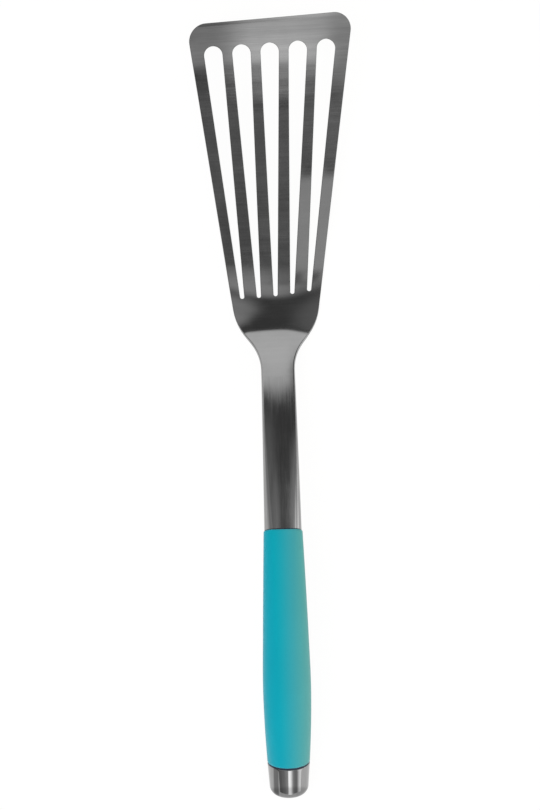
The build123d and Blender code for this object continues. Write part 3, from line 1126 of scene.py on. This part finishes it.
# Table
floor_reach = 3.0
floor_glow_share = 0.93
floor_mesh = bpy.data.meshes.new("table_top")
floor_corners = [(x * floor_reach, y * floor_reach, 0) for x, y in ((-1, -1), (1, -1), (1, 1), (-1, 1))]
floor_mesh.from_pydata(floor_corners, [], [(0, 1, 2, 3)])
floor = bpy.data.objects.new("table_top", floor_mesh)
bpy.context.scene.collection.objects.link(floor)
floor_white, shader, nodes = new_material("table_white")
nodes.feed(shader, {"Base Color": (1.0, 1.0, 1.0, 1), "Roughness": 1.0, "Specular IOR Level": 0.0})
path = nodes.add("ShaderNodeLightPath", {}).outputs
seen = nodes.math("MAXIMUM", path["Is Camera Ray"], path["Is Glossy Ray"])
seen = nodes.math("MAXIMUM", seen, path["Is Transmission Ray"])
glow_share = nodes.math("MULTIPLY", seen, floor_glow_share)
glow = nodes.add("ShaderNodeEmission", {"Color": (1, 1, 1, 1), "Strength": 1.0}).outputs["Emission"]
mixed = nodes.add("ShaderNodeMixShader", {0: glow_share, 1: shader.outputs["BSDF"], 2: glow})
nodes.feed(nodes.tree.nodes["Material Output"], {"Surface": mixed.outputs["Shader"]})
floor_mesh.materials.append(floor_white)

# Studio around the table. A direction is given by its lean from the blade's normal towards the tip, in
# degrees, and by its share to the right. Each panel is a soft-edged box in lean and share with its own level,
# and lies over the panels before it. The first four pairs are ends past every direction on their side.
blade_normal = Vector((0, -sin(rest_tilt), cos(rest_tilt)))
blade_forward = Vector((0, cos(rest_tilt), sin(rest_tilt)))
surround_level = 0.09
to_back = (-200, -190)
to_front = (190, 200)
to_left = (-2, -1.9)
to_right = (1.9, 2)
over_tines = (-0.9, -0.5, 0.5, 0.9)
studio_panels = (
    # lean rises from, to, falls from, to; share rises from, to, falls from, to; level
    ((*to_back, -40, -24), (*to_left, *to_right), 0.36),
    ((*to_back, -40, -30), (-1.1, -1, -0.7, -0.4), 0.25),
    ((*to_back, -40, -30), (-0.42, -0.15, 0.3, 0.48), 0.58),
    ((*to_back, -40, -30), (0.6, 0.8, *to_right), 1.7),
    ((-130, -120, -42, -34), (-0.12, -0.03, 0.08, 0.36), 2.3),
    ((-34, -18, 8, 16), over_tines, 0.165),
    ((-34, -18, 3, 5.4), over_tines, 0.14),
    ((-34, -18, -2.6, 2), over_tines, 0.98),
    ((-14, -6, -5, 0), over_tines, 1.25),
    ((-30, -10, 10, 16), (0.06, 0.11, 0.35, 0.5), 0.66),
    ((5.2, 7.5, 14, 24), (-0.025, 0.04, 0.3, 0.4), 0.57),
    ((18, 24, 34, 44), (0.08, 0.15, 0.3, 0.4), 0.5),
    ((30, 40, 58, 63), (0.1, 0.16, 0.3, 0.4), 0.42),
    ((12, 18, 61, 66), (-0.5, -0.4, -0.08, 0), 0.23),
    ((20, 34, *to_front), (-1.1, -1, -0.55, -0.2), 0.45),
    ((36, 44, 56, 64), (-1.1, -1, -0.22, -0.1), 0.4),
    ((20, 34, *to_front), (-1.1, -1, -0.9, -0.68), 0.72),
    ((20, 34, 70, 84), (0.5, 0.66, *to_right), 0.65),
    ((36, 44, 49, 56), (0.1, 0.26, *to_right), 0.62),
    ((36, 44, 51, 62), (0.4, 0.65, *to_right), 1.4),
    ((60, 70, 95, 120), (0.84, 0.92, *to_right), 1.9),
    ((67, 69.8, 100, 120), (-0.7, -0.5, 0.07, 0.16), 1.1),
    ((65.2, 70, 100, 120), (-0.07, -0.02, 0.03, 0.07), 1.1),
)
horizon_band = (0.17, 0.13)

world = bpy.data.worlds.new("studio")
bpy.context.scene.world = world
world.use_nodes = True
nodes = Nodes(world.node_tree)


def window(value, low, rise, fall, high):
    """One inside a range, with soft ends."""
    falling = nodes.math("SUBTRACT", 1.0, nodes.span(value, (fall, high)))
    return nodes.math("MULTIPLY", nodes.span(value, (low, rise)), falling)


direction = nodes.add("ShaderNodeTexCoord", {}).outputs["Generated"]
lean = nodes.math("ARCTAN2", nodes.dot(direction, blade_forward), nodes.dot(direction, blade_normal))
lean = nodes.math("DEGREES", lean)
sideways = nodes.dot(direction, (1, 0, 0))
level = surround_level
for leans, shares, panel_level in studio_panels:
    seen = nodes.math("MULTIPLY", window(lean, *leans), window(sideways, *shares))
    level = nodes.math("MULTIPLY_ADD", seen, nodes.math("SUBTRACT", panel_level, level), level)
level = nodes.math("MAXIMUM", level, nodes.span(nodes.dot(direction, (0, 0, 1)), horizon_band))
nodes.feed(world.node_tree.nodes["Background"], {"Color": level, "Strength": 1.0})


def soft_lamp(name, place, size, power, colour=(1, 1, 1)):
    """A square lamp aimed at the tool, in metres and watts, that lights matt surfaces but isn't mirrored."""
    light = bpy.data.lights.new(name, "AREA")
    light.shape = "SQUARE"
    light.size = size
    light.energy = power
    light.color = colour
    lamp = bpy.data.objects.new(name, light)
    lamp.location = place
    lamp.rotation_euler = (-Vector(place)).to_track_quat("-Z", "Y").to_euler()
    lamp.visible_glossy = False
    bpy.context.scene.collection.objects.link(lamp)


soft_lamp("lamp_over", (-0.25, -0.5, 1.5), 1.4, 16)
soft_lamp("lamp_left", (-1.4, 0.2, 0.7), 1.2, 4)
soft_lamp("lamp_right", (1.4, 0.1, 0.7), 1.2, 10, (1.0, 0.8, 0.5))

# Camera, square to the tines but for a small side lean, with the tool rolled in the picture
picture_height = 810
view_distance = 1427.0
sheet_scale = 0.497
view_along = -60.0
axis_offset_pixels = 8.3
view_side_lean = radians(0.55)
view_roll = radians(1.41)
sensor_width = 36.0

to_camera = blade_normal * cos(view_side_lean) - Vector((1, 0, 0)) * sin(view_side_lean)
level_right = blade_forward.cross(to_camera).normalized()
level_up = to_camera.cross(level_right)
camera_right = level_right * cos(view_roll) - level_up * sin(view_roll)
camera_up = level_up * cos(view_roll) + level_right * sin(view_roll)
aim = Vector(to_world([(0, view_along, 0)])[0]) - camera_right * axis_offset_pixels * sheet_scale * MM
camera_data = bpy.data.cameras.new("camera")
camera_data.sensor_width = sensor_width
camera_data.lens = sensor_width * view_distance / sheet_scale / picture_height
camera = bpy.data.objects.new("camera", camera_data)
turn = Matrix((camera_right, camera_up, to_camera)).transposed().to_4x4()
camera.matrix_world = Matrix.Translation(aim + to_camera * view_distance * MM) @ turn
bpy.context.scene.collection.objects.link(camera)
bpy.context.scene.camera = camera
bpy.context.scene.view_settings.view_transform = "Standard"
